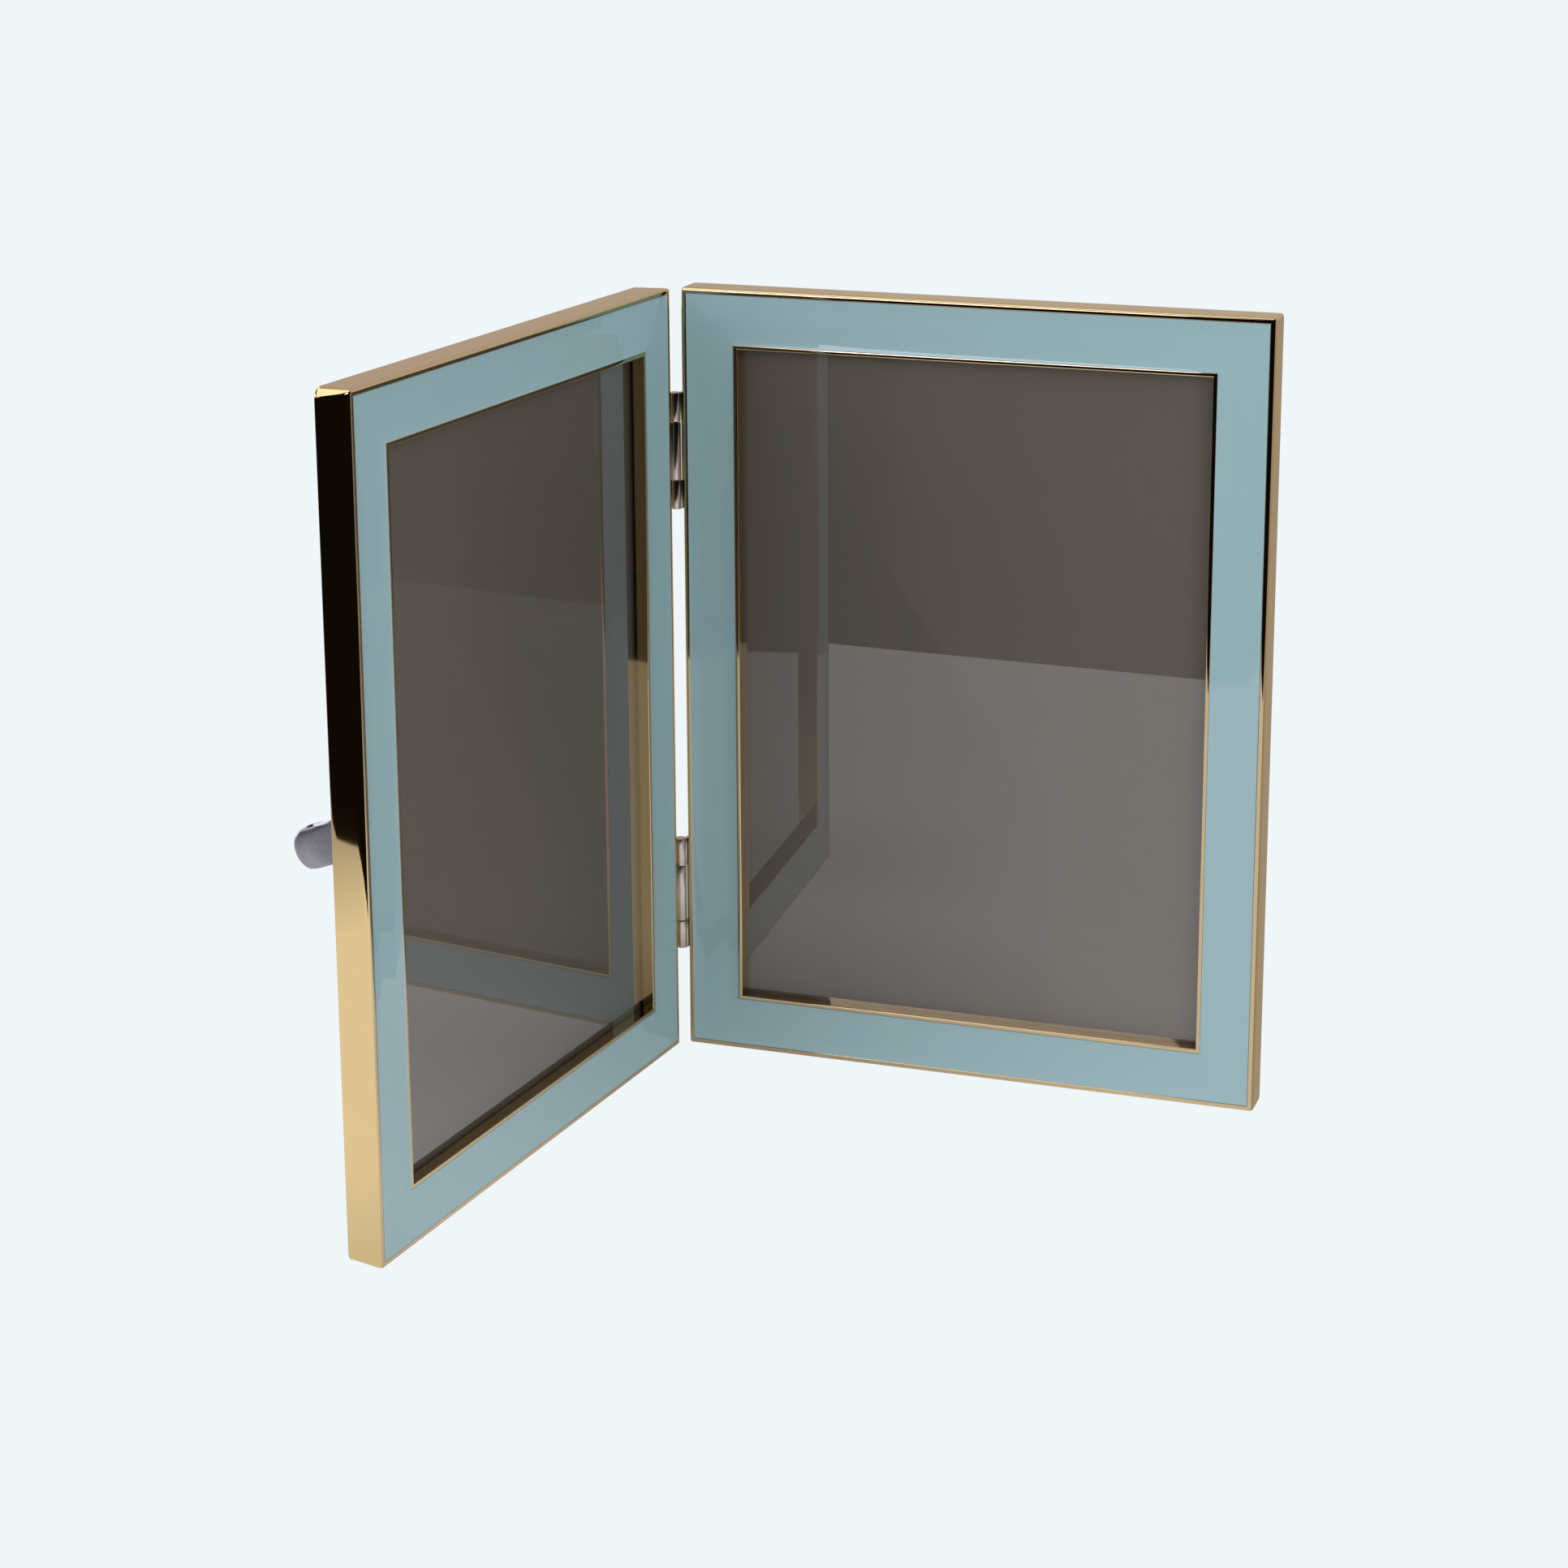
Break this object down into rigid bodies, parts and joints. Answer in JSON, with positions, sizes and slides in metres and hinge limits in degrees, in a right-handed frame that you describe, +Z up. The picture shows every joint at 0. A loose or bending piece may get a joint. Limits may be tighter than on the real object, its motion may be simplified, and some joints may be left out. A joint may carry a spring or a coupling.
{
  "type": "double photo frame",
  "caption": "Free-standing hinged picture frame: portrait leaves of gold-plated metal with an enamel border, glass, a lift-out velvet back with a pull ribbon, joined by butt hinges.",
  "frame": {"origin": "on the surface that the frame stands on, under the middle of the standing frame's box", "axes": "+Z up; +X to the right as seen from the front; -Y towards the viewer, along the middle of the open V, so the hinges are at +Y"},
  "size_m": [0.2496, 0.1087, 0.2015],
  "materials": {
    "gold": "gold-plated and polished zinc casting",
    "enamel": "glossy pale blue enamel",
    "glass": "clear float glass",
    "print_card": "plain taupe-grey card, bare",
    "grey_board": "grey card board",
    "fibre_board": "fibre board",
    "velvet": "grey velvet",
    "ribbon": "grey satin ribbon",
    "nickel": "nickel-plated steel"
  },
  "bodies": {
    "right_frame": {"right_casting": "gold", "right_enamel": "enamel", "right_glass": "glass", "right_print_card": "print_card", "right_filler_board": "grey_board", "right_hinge_screws": "nickel", "upper_hinge_right_plate": "nickel", "lower_hinge_right_plate": "nickel", "upper_hinge_pin": "nickel", "lower_hinge_pin": "nickel"},
    "left_frame": {"left_casting": "gold", "left_enamel": "enamel", "left_glass": "glass", "left_print_card": "print_card", "left_filler_board": "grey_board", "left_hinge_screws": "nickel", "upper_hinge_left_plate": "nickel", "lower_hinge_left_plate": "nickel"},
    "right_back": {"right_back_board": "fibre_board", "right_velvet_cover": "velvet", "right_pull_ribbon": "ribbon"},
    "left_back": {"left_back_board": "fibre_board", "left_velvet_cover": "velvet", "left_pull_ribbon": "ribbon"}
  },
  "joints": [
    {"name": "fold", "type": "hinge", "parent": "right_frame", "child": "left_frame", "pos_m": [0, 0.04904, 0.10075], "axis": [0, 0, 1], "range_deg": [-95, 95]},
    {"name": "right_back_lift", "type": "slide", "parent": "right_frame", "child": "right_back", "axis": [0.6756, 0.7373, 0], "range_m": [0, 0.012]},
    {"name": "left_back_lift", "type": "slide", "parent": "left_frame", "child": "left_back", "axis": [-0.6756, 0.7373, 0], "range_m": [0, 0.012]}
  ]
}
